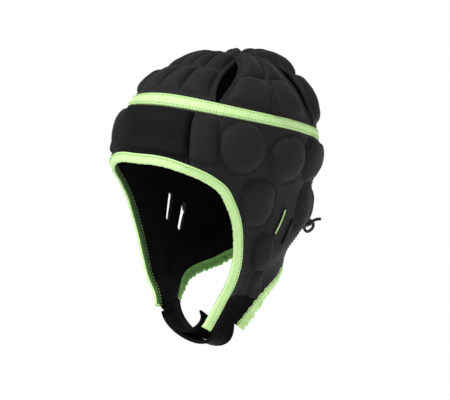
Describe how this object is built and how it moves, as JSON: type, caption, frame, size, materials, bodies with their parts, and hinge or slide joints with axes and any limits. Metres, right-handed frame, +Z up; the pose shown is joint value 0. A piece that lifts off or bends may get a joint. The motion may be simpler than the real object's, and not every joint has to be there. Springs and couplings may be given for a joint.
{
  "type": "rugby scrum cap",
  "caption": "Padded soft head guard with vented crown, ear slits, bound face and neck openings and a chin strap.",
  "frame": {"origin": "point inside the top of the crown, where the cap sits on a head", "axes": "+Z up, the face opening looks along -Y, +X is the wearer's left"},
  "size_m": [0.1826, 0.231, 0.2807],
  "materials": {
    "crown_cloth": "black mesh-faced stretch cloth over foam pads",
    "side_cloth": "black mesh-faced stretch cloth over foam pads",
    "brow_cloth": "smooth black coated cloth",
    "tape": "bright lime elastic binding tape",
    "strap_cloth": "smooth black strap cloth with hook and loop closure",
    "cord": "black round elastic lace"
  },
  "bodies": {
    "root": {"crown_front": "crown_cloth", "crown_left": "crown_cloth", "crown_right": "crown_cloth", "crown_back": "crown_cloth", "crown_band": "tape", "brow_panel": "brow_cloth", "side_panel_left": "side_cloth", "side_panel_right": "side_cloth", "back_panel": "side_cloth", "face_binding": "tape", "neck_binding": "tape", "chin_strap_sleeve": "strap_cloth", "chin_strap_tongue": "strap_cloth", "lace": "cord", "lace_knot": "cord", "lace_end": "cord"}
  },
  "joints": []
}
